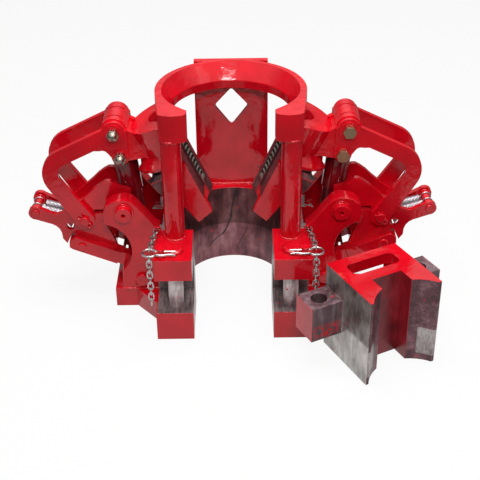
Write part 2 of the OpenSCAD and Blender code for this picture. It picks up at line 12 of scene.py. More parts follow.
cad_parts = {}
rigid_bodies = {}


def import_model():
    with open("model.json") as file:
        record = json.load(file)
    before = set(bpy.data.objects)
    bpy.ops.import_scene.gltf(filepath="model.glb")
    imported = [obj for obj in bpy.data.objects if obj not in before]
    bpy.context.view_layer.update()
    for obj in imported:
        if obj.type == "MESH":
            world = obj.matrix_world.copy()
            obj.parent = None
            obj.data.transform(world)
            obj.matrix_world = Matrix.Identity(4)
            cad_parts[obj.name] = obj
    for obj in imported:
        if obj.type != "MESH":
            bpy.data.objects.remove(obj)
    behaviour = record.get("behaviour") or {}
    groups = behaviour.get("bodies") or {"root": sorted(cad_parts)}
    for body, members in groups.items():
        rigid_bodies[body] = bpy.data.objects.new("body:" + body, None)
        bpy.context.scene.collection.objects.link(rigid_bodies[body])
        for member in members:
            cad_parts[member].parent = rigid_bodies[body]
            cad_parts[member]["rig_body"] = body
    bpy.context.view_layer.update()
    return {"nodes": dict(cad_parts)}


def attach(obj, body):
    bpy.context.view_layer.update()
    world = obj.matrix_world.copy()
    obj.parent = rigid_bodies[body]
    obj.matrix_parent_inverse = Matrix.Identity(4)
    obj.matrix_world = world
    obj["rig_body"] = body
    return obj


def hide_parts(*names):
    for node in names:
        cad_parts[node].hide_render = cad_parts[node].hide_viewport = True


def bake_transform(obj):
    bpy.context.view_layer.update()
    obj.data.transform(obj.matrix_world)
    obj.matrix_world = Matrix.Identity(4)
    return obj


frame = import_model()


# ------------------------------------------------------------
# Camera. A 77 mm lens on a full-frame body, 1.7 m in front of the bore and 1.2 m up. It looks
# down at the throat, and its yaw and roll are less than a degree.

CAMERA_AT = (0.009571, -1.71281, 1.15885)
CAMERA_DOWN, CAMERA_YAW, CAMERA_ROLL = 0.55479, 0.00219, -0.01190
CAMERA_LENS, FILM_WIDTH, FARTHEST = 77.47, 36, 30


def camera_turn(down, yaw, roll):
    """Columns are the camera's right, up and back: the forward way is +Y turned down and to the
    side, and roll then turns right and up about it."""
    ahead = np.array([math.sin(yaw) * math.cos(down), math.cos(yaw) * math.cos(down),
                      -math.sin(down)])
    right = np.array([math.cos(yaw), -math.sin(yaw), 0.0])
    up = np.cross(right, ahead)
    turned = math.cos(roll) * right + math.sin(roll) * up
    return np.stack([turned, np.cross(turned, ahead), -ahead], axis=1)


camera = bpy.data.objects.new("camera", bpy.data.cameras.new("camera"))
camera.data.lens = CAMERA_LENS
camera.data.sensor_width = FILM_WIDTH
camera.data.clip_end = FARTHEST
camera.matrix_world = Matrix.Translation(CAMERA_AT) @ Matrix(
    camera_turn(CAMERA_DOWN, CAMERA_YAW, CAMERA_ROLL).tolist()).to_4x4()
link = bpy.context.scene.collection.objects.link
link(camera)
bpy.context.scene.camera = camera


# ------------------------------------------------------------
# Studio. White paper in a dim room with a pale wall above. A broad box overhead lights the tops
# and, off the paper, the fronts; a wide low strip behind the camera is the key; and a weak box
# fills in from the right.

WHITE = (1, 1, 1, 1)
ROOM_WHITE, ROOM_MIRRORED, ROOM_DIM, ROOM_LIGHT = 1.0, 0.85, 0.16, 0.05
WALL_FROM, WALL_FULL = 0.30, 0.46
PAPER_MIRRORED, PAPER_REACH, PAPER_SHADOW = 0.9, 0.66, 0.10
PAPER_PALE, PAPER_GREY = (0.8, 0.8, 0.8, 1), (0.42, 0.42, 0.42, 1)
FLOOR_HALF, FLOOR_DROP = 6.0, 0.0004


def linear(code):
    """An sRGB hex colour as linear values with an alpha of one."""
    value = np.array([int(code[i:i + 2], 16) for i in (1, 3, 5)]) / 255
    value = np.where(value <= 0.04045, value / 12.92, ((value + 0.055) / 1.055) ** 2.4)
    return (*value.tolist(), 1.0)


def add(tree, kind, sockets=None, **settings):
    """Adds one node to a tree. settings are its properties, and sockets gives the value of an
    input, or the output that feeds it, by the input's name or place."""
    made = tree.nodes.new("ShaderNode" + kind)
    for name, value in settings.items():
        setattr(made, name, value)
    for key, value in (sockets or {}).items():
        if isinstance(value, bpy.types.NodeSocket):
            tree.links.new(value, made.inputs[key])
        else:
            made.inputs[key].default_value = value
    return made


def new_material(name):
    """An empty node material, and its tree."""
    made = bpy.data.materials.new(name)
    made.use_nodes = True
    made.node_tree.nodes.clear()
    return made, made.node_tree


world = bpy.data.worlds.new("white_room")
world.use_nodes = True
room = world.node_tree
room.nodes.clear()
# The camera sees the room white, a gloss sees its wall, and other rays get its dim light.
seen = add(room, "LightPath")
way_up = add(room, "SeparateXYZ", {0: add(room, "TexCoord").outputs["Generated"]}).outputs[2]
wall = add(room, "MapRange", {
    0: way_up, 1: WALL_FROM, 2: WALL_FULL, 3: ROOM_DIM, 4: ROOM_MIRRORED})
dimmed = add(room, "Mix", {0: seen.outputs["Is Glossy Ray"], 2: ROOM_LIGHT, 3: wall.outputs[0]})
level = add(room, "Mix", {0: seen.outputs["Is Camera Ray"], 2: dimmed.outputs[0], 3: ROOM_WHITE})
glow = add(room, "Background", {"Color": WHITE, "Strength": level.outputs[0]})
add(room, "OutputWorld", {"Surface": glow.outputs[0]})
bpy.context.scene.world = world
bpy.context.scene.view_settings.view_transform = "Standard"


def soft_box(name, at, toward, size, power):
    """A rectangular area lamp at a point, turned to face another point."""
    lamp = bpy.data.lights.new(name, "AREA")
    lamp.shape = "RECTANGLE"
    lamp.size, lamp.size_y = size
    lamp.energy = power
    made = bpy.data.objects.new(name, lamp)
    back = np.array(at, float) - np.array(toward, float)
    back /= np.linalg.norm(back)
    side = np.cross((0.0, 0.0, 1.0), back)
    side /= np.linalg.norm(side)
    made.matrix_world = Matrix.Translation(at) @ Matrix(
        np.stack([side, np.cross(back, side), back], axis=1).tolist()).to_4x4()
    link(made)


soft_box("overhead_box", (0.02, -0.1, 2.4), (0, 0, 0.2), (1.8, 1.5), 58)
soft_box("key_box", (0.13, -2.1, 2.16), (0, 0, 0.3), (1.05, 0.25), 30)
soft_box("fill_box", (1.8, -1.2, 1.5), (0, 0, 0.2), (1.0, 1.0), 2.5)

# The camera sees the paper white with a little shadow, a gloss sees it pale out to its reach
# and dim past that, and other rays meet a grey that throws little light back up.
sweep_paper, paper = new_material("white_sweep_paper")
seen = add(paper, "LightPath")
pale = add(paper, "BsdfDiffuse", {"Color": PAPER_PALE})
dimmed = add(paper, "BsdfDiffuse", {"Color": PAPER_GREY})
lit = add(paper, "Emission", {"Color": WHITE, "Strength": 1.0})
from_axis = add(paper, "VectorMath", {
    0: add(paper, "TexCoord").outputs["Object"]}, operation="LENGTH")
edge = add(paper, "MapRange", {
    0: from_axis.outputs["Value"], 1: PAPER_REACH - 0.02, 2: PAPER_REACH + 0.03, 3: PAPER_MIRRORED,
    4: ROOM_DIM})
mirrored = add(paper, "Emission", {"Color": WHITE, "Strength": edge.outputs[0]})
clean = add(paper, "MixShader", {0: 1 - PAPER_SHADOW, 1: pale.outputs[0], 2: lit.outputs[0]})
bounced = add(paper, "MixShader", {
    0: seen.outputs["Is Glossy Ray"], 1: dimmed.outputs[0], 2: mirrored.outputs[0]})
shown = add(paper, "MixShader", {
    0: seen.outputs["Is Camera Ray"], 1: bounced.outputs[0], 2: clean.outputs[0]})
add(paper, "OutputMaterial", {"Surface": shown.outputs[0]})

floor_mesh = bpy.data.meshes.new("sweep_floor")
floor_mesh.from_pydata([(x * FLOOR_HALF, y * FLOOR_HALF, -FLOOR_DROP)
                        for x, y in ((-1, -1), (1, -1), (1, 1), (-1, 1))], [], [(0, 1, 2, 3)])
floor_mesh.materials.append(sweep_paper)
sweep_floor = bpy.data.objects.new("sweep_floor", floor_mesh)
link(sweep_floor)


# ------------------------------------------------------------
# Bowl body. One steel casting, sprayed with thick gloss enamel. Its bore, the gate slots, the
# throat's sides and the ledges at the sides were machined, and stay bare with a dust of paint.

ENAMEL, ENAMEL_DEEP = "#e1091f", "#c60519"
# Sizes of the coat's runs and skin in metres; broad clouds and stains are counted in a metre.
RUN_SIZE, SKIN_SIZE, SKIN_SHARE, COAT_DEEP = 0.016, 0.0032, 0.10, 0.0012
METRE, CLOUDS, STAINS = 1.0, 14.0, 21.0
MERGED, FLAT, SHARP = 2e-6, math.radians(0.4), math.radians(32)


def place(mesh, name, body, finish, stands_for=()):
    """Puts a finished mesh in the scene under a name, on a body, with its finish."""
    mesh.materials.clear()
    mesh.materials.append(finish)
    made = bpy.data.objects.new(name, mesh)
    link(made)
    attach(made, body)
    if stands_for:
        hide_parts(*stands_for)
    return made


def softened(node, width, name, finish, carve=None, shape=None, segments=3):
    """A copy of a CAD node with its seams merged and its sharp edges rounded by a bevel of a
    width in metres, as a casting's or a sawn plate's are under paint. carve first changes the
    copy's faces, and shape then gets its points as one array and gives them back moved."""
    source = frame["nodes"][node]
    mesh = source.data.copy()
    work = bmesh.new()
    work.from_mesh(mesh)
    bmesh.ops.remove_doubles(work, verts=work.verts, dist=MERGED)
    bmesh.ops.dissolve_limit(work, angle_limit=FLAT, verts=work.verts, edges=work.edges)
    if carve:
        carve(work)
    work.to_mesh(mesh)
    work.free()
    if shape:
        points = np.empty(len(mesh.vertices) * 3, np.float32)
        mesh.vertices.foreach_get("co", points)
        moved = shape(points.reshape(-1, 3).astype(float))
        mesh.vertices.foreach_set("co", moved.astype(np.float32).ravel())
        mesh.update()
    if "custom_normal" in mesh.attributes:
        mesh.attributes.remove(mesh.attributes["custom_normal"])
    mesh.shade_smooth()
    mesh.set_sharp_from_angle(angle=SHARP)
    made = place(mesh, name, source["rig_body"], finish, (node,))
    soft = made.modifiers.new("soft_edges", "BEVEL")
    soft.width = width
    soft.segments = segments
    soft.limit_method = "ANGLE"
    soft.angle_limit = SHARP
    soft.harden_normals = True
    soft.miter_outer = "MITER_ARC"
    return made


def window(tree, value, low, high, soft):
    """One between low and high, zero outside, with a soft step at each end."""
    rise = add(tree, "MapRange", {0: value, 1: low - soft, 2: low + soft, 3: 0.0, 4: 1.0})
    fall = add(tree, "MapRange", {0: value, 1: high - soft, 2: high + soft, 3: 1.0, 4: 0.0})
    return both(tree, rise.outputs[0], fall.outputs[0])


def both(tree, *parts, operation="MULTIPLY"):
    """The product of several masks, or their greatest with operation MAXIMUM."""
    out = parts[0]
    for part in parts[1:]:
        out = add(tree, "Math", {0: out, 1: part}, operation=operation).outputs[0]
    return out


def steel(tree, place_at, dark, mid, pale, along=(1, 1, 0.08), fine=300.0, low=0.74, high=1.26):
    """Machined steel left bare: its colour and roughness. The colour runs from dark to pale with
    the sum of a noise drawn out along the cutter's way, fine grains in a metre, and a stain."""
    drawn = add(tree, "Mapping", {"Vector": place_at, "Scale": along})
    lines = add(tree, "TexNoise", {
        "Vector": drawn.outputs[0], "Scale": fine, "Detail": 5.0, "Roughness": 0.6})
    stain = add(tree, "TexNoise", {
        "Vector": place_at, "Scale": STAINS, "Detail": 5.0, "Roughness": 0.62})
    tone = add(tree, "Math", {0: lines.outputs[0], 1: stain.outputs[0]}, operation="ADD")
    spread = add(tree, "MapRange", {0: tone.outputs[0], 1: low, 2: high})
    ramp = add(tree, "ValToRGB", {0: spread.outputs[0]})
    ramp.color_ramp.elements[0].color = linear(dark)
    ramp.color_ramp.elements[1].color = linear(pale)
    ramp.color_ramp.elements.new(0.5).color = linear(mid)
    dull = add(tree, "MapRange", {0: lines.outputs[0], 1: 0.3, 2: 0.7, 3: 0.3, 4: 0.5})
    return ramp.outputs[0], dull.outputs[0]


def sprayed(tree, place_at, mask, level, size):
    """Takes from a mask the spots where a noise, whose grains are about size metres across, is
    over a level, so that drops and drifts of the red paint lie on the bare steel there."""
    drops = add(tree, "TexNoise", {
        "Vector": place_at, "Scale": METRE / size, "Detail": 4.0, "Roughness": 0.65})
    left = add(tree, "MapRange", {
        0: drops.outputs[0], 1: level - 0.03, 2: level + 0.03, 3: 1.0, 4: 0.0})
    return both(tree, mask, left.outputs[0])


def enamel(name, bare=None, colour=ENAMEL, deep=ENAMEL_DEEP):
    """Gloss red enamel over steel: a coloured coat with an index near 1.5, thick enough to flow,
    so broad runs and an orange skin break its reflections. bare() lists the machined places, each
    as a mask, the steel's colour and roughness, and how metallic it looks."""
    made, tree = new_material(name)
    place_at = add(tree, "TexCoord").outputs["Object"]
    runs = add(tree, "TexNoise", {
        "Vector": place_at, "Scale": METRE / RUN_SIZE, "Detail": 2.0, "Roughness": 0.5})
    skin = add(tree, "TexNoise", {"Vector": place_at, "Scale": METRE / SKIN_SIZE, "Detail": 1.0})
    cloud = add(tree, "TexNoise", {
        "Vector": place_at, "Scale": CLOUDS, "Detail": 4.0, "Roughness": 0.6}).outputs[0]
    tint = add(tree, "MapRange", {0: cloud, 1: 0.35, 2: 0.65, 3: 0.0, 4: 1.0}).outputs[0]
    red = add(tree, "Mix", {0: tint, 6: linear(colour), 7: linear(deep)}, data_type="RGBA")
    gloss = add(tree, "MapRange", {0: cloud, 1: 0.3, 2: 0.7, 3: 0.07, 4: 0.16})
    height = add(tree, "Math", {
        0: skin.outputs[0], 1: SKIN_SHARE, 2: runs.outputs[0]}, operation="MULTIPLY_ADD")
    base, rough, metal = red.outputs[2], gloss.outputs[0], 0.0
    if bare:
        for mask, (tone, dull), shine in bare(tree, place_at):
            base = add(tree, "Mix", {0: mask, 6: base, 7: tone}, data_type="RGBA").outputs[2]
            rough = add(tree, "Mix", {0: mask, 2: rough, 3: dull}).outputs[0]
            metal = add(tree, "Mix", {0: mask, 2: metal, 3: shine}).outputs[0]
    bumped = add(tree, "Bump", {
        "Height": height.outputs[0], "Strength": 0.55, "Distance": COAT_DEEP})
    coat = add(tree, "BsdfPrincipled", {
        "Base Color": base, "Roughness": rough, "Metallic": metal, "Normal": bumped.outputs[0]})
    add(tree, "OutputMaterial", {"Surface": coat.outputs[0]})
    return made


def follows(tree, value, steps):
    """A smooth curve through pairs of numbers (value, answer), worked out at a value."""
    steps = np.array(sorted(steps), float)
    low, high = steps.min(axis=0), steps.max(axis=0)
    inner = add(tree, "MapRange", {0: value, 1: float(low[0]), 2: float(high[0])})
    curve = add(tree, "FloatCurve", {"Value": inner.outputs[0]})
    line_of = curve.mapping.curves[0].points
    scaled = (steps - low) / (high - low)
    line_of[0].location, line_of[-1].location = scaled[0], scaled[-1]
    for point in scaled[1:-1]:
        line_of.new(*point.tolist())
    curve.mapping.update()
    answer = add(tree, "MapRange", {0: curve.outputs[0], 3: float(low[1]), 4: float(high[1])})
    return answer.outputs[0]


BORE_R, CONE_Z, CONE_SLOPE, WALL_OUT = 0.098, 0.079, 0.211, 0.0015
RIM_LOW, RIM_HIGH = 0.0005, 0.1515
LEG_IN, LEG_OUT, THROAT_Y, THROAT_Z = 0.073, 0.141, (-0.184, -0.062), (0.003, 0.168)
SLOT_LOW, SLOT_HIGH, SLOT_FRONT, SLOT_BACK = 0.058, 0.1285, 0.1862, 0.110
BOWL_TOP, LEDGE_X, LEDGE_HALF = 0.153, (0.078, 0.3), 0.085
# Points (z, x) along the casting seam, and along a scratch beside it.
SEAM = ((0.0306, -0.0508), (0.047, -0.0345), (0.0551, -0.0208), (0.0725, -0.0113),
        (0.0893, -0.0054), (0.1124, -0.0018), (0.1309, 0.0019), (0.1494, 0.0078))
SCRATCH = ((0.0156, 0.0062), (0.0428, 0.0174), (0.0689, 0.0295))
SEAM_WIDE, SCRATCH_WIDE, WANDER, WANDERS = 0.0017, 0.0007, 0.007, 120.0


def body_bare(tree, place_at):
    """Bare where machined: the bore and its cone between painted rims, the sides of the throat,
    the gate slots and the flat ledges at the sides. The cone's radius is BORE_R and CONE_SLOPE
    times the height over CONE_Z. A dark casting seam wanders down the bore."""
    x, y, z = add(tree, "SeparateXYZ", {0: place_at}).outputs
    flat = add(tree, "CombineXYZ", {0: x, 1: y})
    radius = add(tree, "VectorMath", {0: flat.outputs[0]}, operation="LENGTH").outputs["Value"]
    over = add(tree, "Math", {0: z, 1: CONE_Z}, operation="SUBTRACT").outputs[0]
    flare = add(tree, "Math", {
        0: over, 1: CONE_SLOPE, 2: BORE_R + WALL_OUT}, operation="MULTIPLY_ADD")
    limit = add(tree, "Math", {0: flare.outputs[0], 1: BORE_R + WALL_OUT}, operation="MAXIMUM")
    inside = add(tree, "Math", {0: radius, 1: limit.outputs[0]}, operation="LESS_THAN").outputs[0]
    bore = both(tree, inside, window(tree, z, RIM_LOW, RIM_HIGH, 0.001))
    across = add(tree, "Math", {0: x}, operation="ABSOLUTE").outputs[0]
    throat = both(tree, window(tree, across, 0, LEG_IN + 0.0008, 0.0003),
                  window(tree, y, *THROAT_Y, 0.003), window(tree, z, *THROAT_Z, 0.002))
    slot = both(tree, window(tree, z, SLOT_LOW - 0.0005, SLOT_HIGH + 0.0005, 0.0004),
                window(tree, y, -SLOT_FRONT, -SLOT_BACK + 0.001, 0.0004),
                window(tree, across, LEG_IN - 0.001, LEG_OUT - 0.0015, 0.0005))
    ledge = both(tree, window(tree, z, BOWL_TOP - 0.0006, BOWL_TOP + 0.0006, 0.0003),
                 window(tree, across, *LEDGE_X, 0.008),
                 window(tree, y, -LEDGE_HALF, LEDGE_HALF, 0.012))
    wander = add(tree, "TexNoise", {"Vector": place_at, "Scale": WANDERS, "Detail": 3.0})
    shaken = add(tree, "Math", {
        0: wander.outputs[0], 1: WANDER, 2: x}, operation="MULTIPLY_ADD").outputs[0]
    cracks = []
    for steps, wide in ((SEAM, SEAM_WIDE), (SCRATCH, SCRATCH_WIDE)):
        off = add(tree, "Math", {0: shaken, 1: follows(tree, z, steps)}, operation="SUBTRACT")
        off = add(tree, "Math", {0: off.outputs[0], 1: WANDER / 2}, operation="SUBTRACT")
        gap = add(tree, "Math", {0: off.outputs[0]}, operation="ABSOLUTE").outputs[0]
        cracks.append(both(tree, window(tree, gap, -1, wide, 0.0004),
                           window(tree, z, steps[0][0], steps[-1][0], 0.004)))
    crack = both(tree, both(tree, *cracks, operation="MAXIMUM"), bore,
                 window(tree, y, 0.04, 1, 0.002))
    # Red dust in the steel's pores: brown in the bore, darker in the cone, grey where milled.
    cast = steel(tree, place_at, "#4c282e", "#8a5158", "#b98489", along=(1, 1, 0.2), fine=64.0)
    coned = steel(tree, place_at, "#2e1518", "#5e3235", "#875658", along=(1, 1, 0.2), fine=64.0)
    milled = steel(tree, place_at, "#8a8383", "#b3aeac", "#d6d3d0")
    # The gate slots' steel is darker, painted shade for their recess.
    shade = steel(tree, place_at, "#4a3a3c", "#7c6c6e", "#a59a9a", along=(1, 0.1, 1))
    ground = steel(tree, place_at, "#665a5c", "#8f8586", "#b9b1b0", along=(0.1, 1, 1))
    black = steel(tree, place_at, "#120a0b", "#1c1112", "#2a1a1b")
    high = both(tree, inside, window(tree, z, CONE_Z, RIM_HIGH, 0.001))
    return [(sprayed(tree, place_at, bore, 0.68, 0.016), cast, 0.25),
            (sprayed(tree, place_at, high, 0.68, 0.016), coned, 0.2),
            (crack, black, 0.0),
            (sprayed(tree, place_at, throat, 0.64, 0.012), milled, 0.6),
            (sprayed(tree, place_at, slot, 0.68, 0.012), shade, 0.3),
            (sprayed(tree, place_at, ledge, 0.57, 0.014), ground, 0.4)]


body_enamel = enamel("enamel_over_cast_steel", body_bare)
softened("bowl_body", 0.0022, "bowl_casting", body_enamel)


def tube(path, radius, sides=12, up=(0, 0, 1), closed=False):
    """Round wire along a path of points: each ring of points lies across the path's direction,
    its first axis square to up. radius is one number, or one for each point of the path."""
    path = np.asarray(path, float)
    if closed:
        along = np.roll(path, -1, 0) - np.roll(path, 1, 0)
    else:
        along = np.gradient(path, axis=0)
    along /= np.linalg.norm(along, axis=1, keepdims=True)
    first = np.cross(along, np.asarray(up, float))
    first /= np.linalg.norm(first, axis=1, keepdims=True)
    second = np.cross(along, first)
    turn = np.arange(sides) * 2 * math.pi / sides
    reach = np.broadcast_to(np.asarray(radius, float), (len(path),))[:, None, None]
    return path[:, None] + reach * (first[:, None] * np.cos(turn)[None, :, None]
                                    + second[:, None] * np.sin(turn)[None, :, None])


def skin_rings(rings, closed=False):
    """Vertices and faces of a tube from its rings: a quad between neighbours, and a cap at each
    end of an open one."""
    count, sides = rings.shape[:2]
    step = np.arange(count if closed else count - 1)[:, None] * sides
    ahead = (step + sides) % (count * sides)
    here = np.arange(sides)[None, :]
    there = (here + 1) % sides
    quads = np.stack([step + here, ahead + here, ahead + there, step + there], axis=-1)
    faces = quads.reshape(-1, 4).tolist()
    if not closed:
        faces += [list(range(sides)), list(range((count - 1) * sides, count * sides))[::-1]]
    return rings.reshape(-1, 3), faces


def joined(name, parts, sharp=50):
    """One mesh from several lists of vertices and faces, smooth but for edges past sharp."""
    points, faces, start = [], [], 0
    for vertices, polygons in parts:
        points.append(vertices)
        faces += [[start + i for i in polygon] for polygon in polygons]
        start += len(vertices)
    mesh = bpy.data.meshes.new(name)
    mesh.from_pydata(np.concatenate(points).tolist(), [], faces)
    work = bmesh.new()
    work.from_mesh(mesh)
    bmesh.ops.recalc_face_normals(work, faces=work.faces)
    work.to_mesh(mesh)
    work.free()
    mesh.shade_smooth()
    mesh.set_sharp_from_angle(angle=math.radians(sharp))
    return mesh


# ------------------------------------------------------------
# Guard ring, its two posts and the back plate. Rolled bar, round bar and plate, cut with a
# torch, welded to the casting and painted with it.

RING_IN, RING_LOW, RING_MID, RING_TOP = 0.1225, 0.3675, 0.3855, 0.422
MOUTH, THROAT_R, CREASE, FUNNEL_Y = (0.1245, 0.1295), 0.1080, 0.0015, (-0.085, -0.02)
LIP_UP, TOP_DOWN, REAR_DOWN, PLATE_DOWN = 0.0035, 0.0032, 0.0015, 0.0054
END_X, END_FRONT, BULGE, BULGE_CURVE = 0.1010, -0.119, 0.0022, 12.5
# Half width, middle height and half height of the reach that holds the plate's window.
WINDOW_REACH, WINDOW_ROUND = (0.036, 0.306, 0.050), 0.006


def cut_across(work, planes):
    """Cuts a mesh's faces where they cross each plane, which a point and a normal give."""
    for point, normal in planes:
        bmesh.ops.bisect_plane(work, geom=work.verts[:] + work.edges[:] + work.faces[:],
                               dist=1e-6, plane_co=Vector(point), plane_no=Vector(normal))


def hoop_cuts(work):
    """Gives the hoop edges at the crease of its funnel and at the middle of each end block."""
    cut_across(work, [((0, 0, RING_MID + step), (0, 0, 1)) for step in (-CREASE, 0, CREASE)])
    cut_across(work, [((x, 0, 0), (1, 0, 0)) for x in (-END_X, END_X)])


def flared(points):
    """Opens the hoop's bore into a funnel: its half width and half depth go straight from MOUTH
    at the top to THROAT_R at RING_MID and below, by a share that grows over FUNNEL_Y. The top
    edge and the lower lip move in, and each end block's front bulges by a parabola, BULGE less
    BULGE_CURVE times the offset squared."""
    x, y, z = points.T
    radius = np.hypot(x, y)
    share = np.interp(y, FUNNEL_Y, (0.0, 1.0))
    wide, deep = (np.interp(z, (RING_MID, RING_TOP), (THROAT_R, mouth)) for mouth in MOUTH)
    bore = np.abs(radius - RING_IN) < 0.0006
    bulged = END_FRONT - BULGE + BULGE_CURVE * (np.abs(x) - END_X) ** 2
    moved = points.copy()
    moved[:, 0] = np.where(bore, x * (1 + (wide / radius - 1) * share), x)
    moved[:, 1] = np.where(bore, y * (1 + (deep / radius - 1) * share), y)
    moved[:, 1] = np.where(y < END_FRONT + 0.0004, bulged, moved[:, 1])
    moved[:, 2] += np.where(bore & (z < RING_LOW + 0.0005), LIP_UP * share, 0)
    moved[:, 2] -= np.where(z > RING_TOP - 0.0005, TOP_DOWN + REAR_DOWN * share, 0)
    return moved


def in_window(spot):
    """Whether a point of the back plate is within reach of its window's middle."""
    half, middle, tall = WINDOW_REACH
    return abs(spot.co.x) < half and abs(spot.co.z - middle) < tall


def window_rounds(work):
    """Rounds the window's corners, which are the bent edges that go through the back plate."""
    corners = [edge for edge in work.edges
               if abs(edge.verts[0].co.y - edge.verts[1].co.y) > 0.01
               and all(in_window(spot) for spot in edge.verts) and edge.calc_face_angle(0) > 0.6]
    bmesh.ops.bevel(work, geom=corners, offset=WINDOW_ROUND, offset_type="OFFSET", segments=5,
                    profile=0.5, affect="EDGES")


def topped(points):
    """Takes the back plate's top edge down to the lowered hoop."""
    points[points[:, 2] > RING_TOP - 0.012, 2] -= PLATE_DOWN
    return points


SIDES = ("left", "right")
plate_enamel = enamel("enamel_over_plate")
softened("guard_ring", 0.0042, "guard_hoop", plate_enamel, carve=hoop_cuts, shape=flared,
         segments=4)
for side in SIDES:
    softened("post_" + side, 0.001, "guard_post_" + side, plate_enamel)
softened("back_plate", 0.002, "back_guard", plate_enamel, carve=window_rounds, shape=topped)

BEAD_R, BEAD_STEP = 0.0026, 0.0046


def bead(path, length, closed=False, up=(0, 0, 1)):
    """A weld bead: a tube whose radius swells a little at each ripple of the pool."""
    turns = np.linspace(0, length / BEAD_STEP, len(path), endpoint=not closed)
    swell = 1 + 0.12 * np.abs(np.sin(math.pi * turns)) + 0.05 * np.sin(2.1 * turns)
    return skin_rings(tube(path, BEAD_R * swell, 8, up, closed), closed)


def line(start, end, gap=0.0012):
    """Evenly spaced points from start to end."""
    start, end = np.asarray(start, float), np.asarray(end, float)
    count = max(4, int(np.linalg.norm(end - start) / gap))
    return start + (end - start) * np.linspace(0, 1, count)[:, None]


POST_AT, POST_R, PAD_Z, PLATE_Y, SEAM_HALF = (0.1055, -0.1005), 0.0185, 0.171, 0.129, 0.070
beads = []
ring_turn = np.linspace(0, 2 * math.pi, 120, endpoint=False)
for way in (-1, 1):
    for height in (PAD_Z, RING_LOW):
        foot = np.stack([way * POST_AT[0] + POST_R * np.cos(ring_turn),
                         POST_AT[1] + POST_R * np.sin(ring_turn), np.full(120, height)], axis=1)
        beads.append(bead(foot, 2 * math.pi * POST_R, closed=True))
seam = line((-SEAM_HALF, PLATE_Y - 0.0005, BOWL_TOP + 0.0005),
            (SEAM_HALF, PLATE_Y - 0.0005, BOWL_TOP + 0.0005))
beads.append(bead(seam, 2 * SEAM_HALF))
place(joined("guard_welds", beads), "guard_welds", "spider", plate_enamel)


# ------------------------------------------------------------
# Side frames. Flame-cut cheeks are welded to the flange and the legs, and carry the stub shafts,
# the outrigger and the pair of side plates, all painted over.

SLAB_END, TAIL_X, CUT_EDGE, TURNED_EDGE = (0.3165, 0.1165), 0.2995, 0.0018, 0.0012
SLAB_SLOT, SLOT_LONG = (0.2085, 0.2290), (-0.022, 0.042)
CHEEK_IN, CHEEK_OUT, FLANGE_TOP, TOE_X, PAD_WELD_X = 0.046, 0.0775, 0.040, 0.212, 0.1395


def trimmed(points):
    """Trims the tail of a side plate behind the outrigger's end."""
    tail = (np.abs(points[:, 0]) > TAIL_X) & (points[:, 2] < SLAB_END[1])
    points[tail, 2] = SLAB_END[1]
    points[tail, 0] = np.clip(points[tail, 0], -SLAB_END[0], SLAB_END[0])
    return points


def slotted(work):
    """Opens a slot down through the outrigger next to the cheeks: four planes cut its top and
    bottom round the slot, the pieces inside go, and walls join the two rims."""
    cut_across(work, [((way * x, 0, 0), (1, 0, 0)) for x in SLAB_SLOT for way in (-1, 1)])
    cut_across(work, [((0, y, 0), (0, 1, 0)) for y in SLOT_LONG])
    gone = []
    for face in work.faces:
        x, y, _ = face.calc_center_median()
        if (SLAB_SLOT[0] < abs(x) < SLAB_SLOT[1] and SLOT_LONG[0] < y < SLOT_LONG[1]
                and abs(face.normal.z) > 0.5):
            gone.append(face)
    rim = {edge for face in gone for edge in face.edges
           if any(other not in gone for other in edge.link_faces)}
    bmesh.ops.delete(work, geom=gone, context="FACES")
    bmesh.ops.bridge_loops(work, edges=[edge for edge in rim if edge.is_valid])
    bmesh.ops.recalc_face_normals(work, faces=work.faces[:])


for side in SIDES:
    for node, carve, shape in (("cheek_front_", None, None), ("cheek_rear_", None, None),
                               ("outrigger_", slotted, None), ("side_plates_", None, trimmed)):
        softened(node + side, CUT_EDGE, node + side + "_cut", plate_enamel, carve=carve,
                 shape=shape)
    for node in ("spring_bar_", "trunnion_pin_"):
        softened(node + side, TURNED_EDGE, node + side + "_turned", plate_enamel)
    softened("stub_shafts_" + side, TURNED_EDGE, "stub_shafts_%s_turned" % side, plate_enamel)

beads = []
for way in (-1, 1):
    foot, toe, pad = way * (LEG_OUT + 0.0008), way * TOE_X, way * PAD_WELD_X
    for near in (-1, 1):
        low = (foot, near * CHEEK_OUT, FLANGE_TOP)
        beads.append(bead(line(low, (foot, near * CHEEK_OUT, BOWL_TOP)), 0.113, up=(1, 0, 0)))
        beads.append(bead(line(low, (toe, near * CHEEK_OUT, FLANGE_TOP)), 0.07))
    beads.append(bead(line((pad, -CHEEK_OUT, PAD_Z), (pad, -CHEEK_IN, PAD_Z)), 0.0315))
place(joined("cheek_welds", beads), "cheek_welds", "spider", plate_enamel)


# ------------------------------------------------------------
# Slip arms. Two C-shaped plates on each side clamp a cast head between them, and turn on one
# pin. The head bolts are plated: domed nuts on the left, bolt heads on the right.

for side in SIDES:
    for node in ("arm_front_", "arm_rear_", "spring_crank_", "pivot_pin_"):
        softened(node + side, 0.0016, node + side + "_cut", plate_enamel)
    softened("head_" + side, 0.0024, "head_%s_cast" % side, plate_enamel)


MARKS = 160.0


def plated(name, colour, dark, rough=0.28):
    """Turned or drawn steel, bare or plated: a true metal, with a soft gloss and fingermarks."""
    made, tree = new_material(name)
    place_at = add(tree, "TexCoord").outputs["Object"]
    marks = add(tree, "TexNoise", {"Vector": place_at, "Scale": MARKS, "Detail": 5.0}).outputs[0]
    tone = add(tree, "Mix", {0: marks, 6: linear(colour), 7: linear(dark)}, data_type="RGBA")
    dull = add(tree, "MapRange", {0: marks, 1: 0.3, 2: 0.7, 3: rough, 4: rough + 0.16})
    metal = add(tree, "BsdfPrincipled", {
        "Base Color": tone.outputs[2], "Roughness": dull.outputs[0], "Metallic": 1.0})
    add(tree, "OutputMaterial", {"Surface": metal.outputs[0]})
    return made


